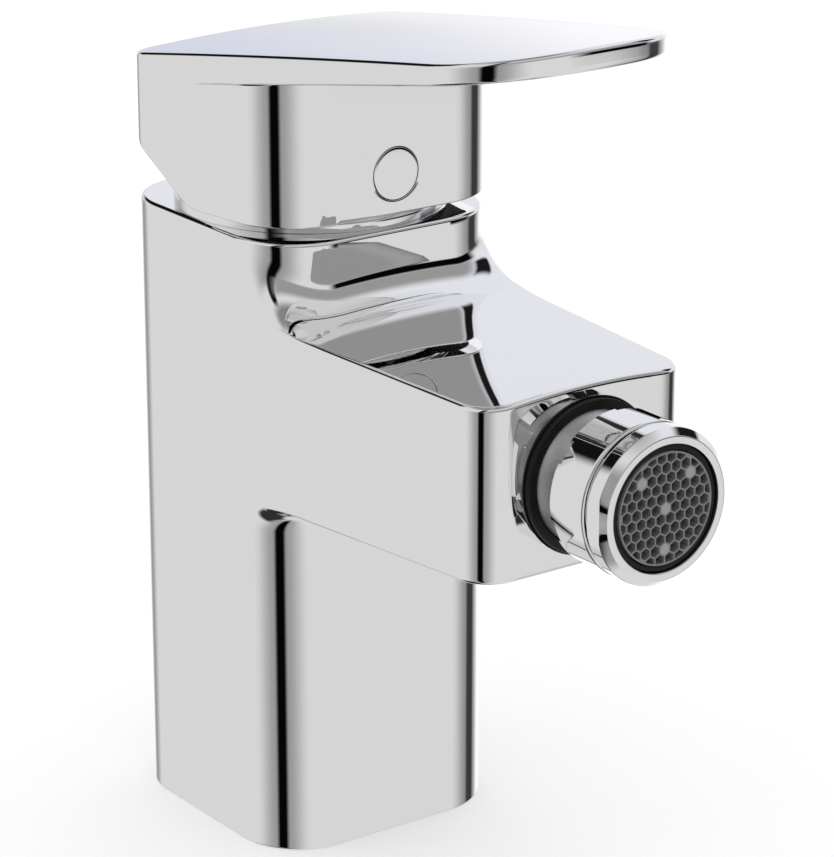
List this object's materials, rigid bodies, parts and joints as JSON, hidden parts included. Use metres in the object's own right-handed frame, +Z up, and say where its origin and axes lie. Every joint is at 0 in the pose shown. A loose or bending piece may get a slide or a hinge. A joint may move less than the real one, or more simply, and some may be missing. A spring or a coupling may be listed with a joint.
{
  "type": "bidet mixer",
  "caption": "Chrome single-lever bidet mixer: square rounded column, short flat spout, flat lifting lever and a ball-jointed aerator nozzle.",
  "frame": {"origin": "centre of the column's foot on the deck it stands on", "axes": "+Z up, the spout and the lever point along -Y, +X is the user's right when they face the spout's front from behind the column"},
  "size_m": [0.0506, 0.1131, 0.1399],
  "materials": {
    "body_chrome": "polished chrome plate on cast brass",
    "satin_metal": "satin nickel plate on turned brass",
    "seal_rubber": "moulded rubber",
    "cartridge_plastic": "moulded engineering plastic",
    "disc_ceramic": null,
    "bare_brass": "turned brass",
    "black_plastic": "glossy black moulded plastic",
    "steel": "stainless steel",
    "white_plastic": "slippery white plastic",
    "grey_plastic": "moulded grey plastic"
  },
  "bodies": {
    "column": {"mixer_body": "body_chrome", "hot_floor": "body_chrome", "cold_floor": "body_chrome", "stud_floor": "body_chrome", "deck_seal": "seal_rubber", "cartridge_seals": "seal_rubber", "cartridge_base": "cartridge_plastic", "fixed_disc": "disc_ceramic", "cartridge_casing": "cartridge_plastic", "retaining_nut": "bare_brass", "cover_ring": "body_chrome", "seat_seal": "seal_rubber", "ball_retainer": "black_plastic"},
    "turning_guide": {"rotor": "cartridge_plastic", "spindle_pin": "steel"},
    "sliding_disc": {"moving_disc": "disc_ceramic", "disc_carrier": "cartridge_plastic"},
    "lever": {"spindle": "bare_brass", "lever_handle": "body_chrome", "grub_screw": "steel", "index_cap": "body_chrome"},
    "swivel": {"slip_ring": "white_plastic"},
    "nozzle": {"swivel_ball": "satin_metal", "nozzle_sleeve": "body_chrome", "aerator_seal": "seal_rubber", "strainer": "steel", "aerator_cup": "black_plastic", "flow_regulator": "white_plastic", "honeycomb_insert": "grey_plastic", "aerator_housing": "body_chrome"}
  },
  "joints": [
    {"name": "lever_turn", "type": "hinge", "parent": "column", "child": "turning_guide", "pos_m": [0, 0, 0.0948], "axis": [0, 0, 1], "range_deg": [-45, 45]},
    {"name": "lever_tilt", "type": "hinge", "parent": "turning_guide", "child": "lever", "pos_m": [0, 0, 0.0948], "axis": [-1, 0, 0], "range_deg": [0, 25]},
    {"name": "disc_slide", "type": "slide", "parent": "turning_guide", "child": "sliding_disc", "axis": [0, -1, 0], "range_m": [0, 0.0027]},
    {"name": "nozzle_roll", "type": "hinge", "parent": "column", "child": "swivel", "pos_m": [0, -0.068, 0.0755], "axis": [0, -1, 0], "continuous": true},
    {"name": "nozzle_tilt", "type": "hinge", "parent": "swivel", "child": "nozzle", "pos_m": [0, -0.068, 0.0755], "axis": [1, 0, 0], "range_deg": [-15, 15]}
  ],
  "couplings": [
    {"joint": "disc_slide", "follows": "lever_tilt", "m_per_rad": 0.006}
  ]
}
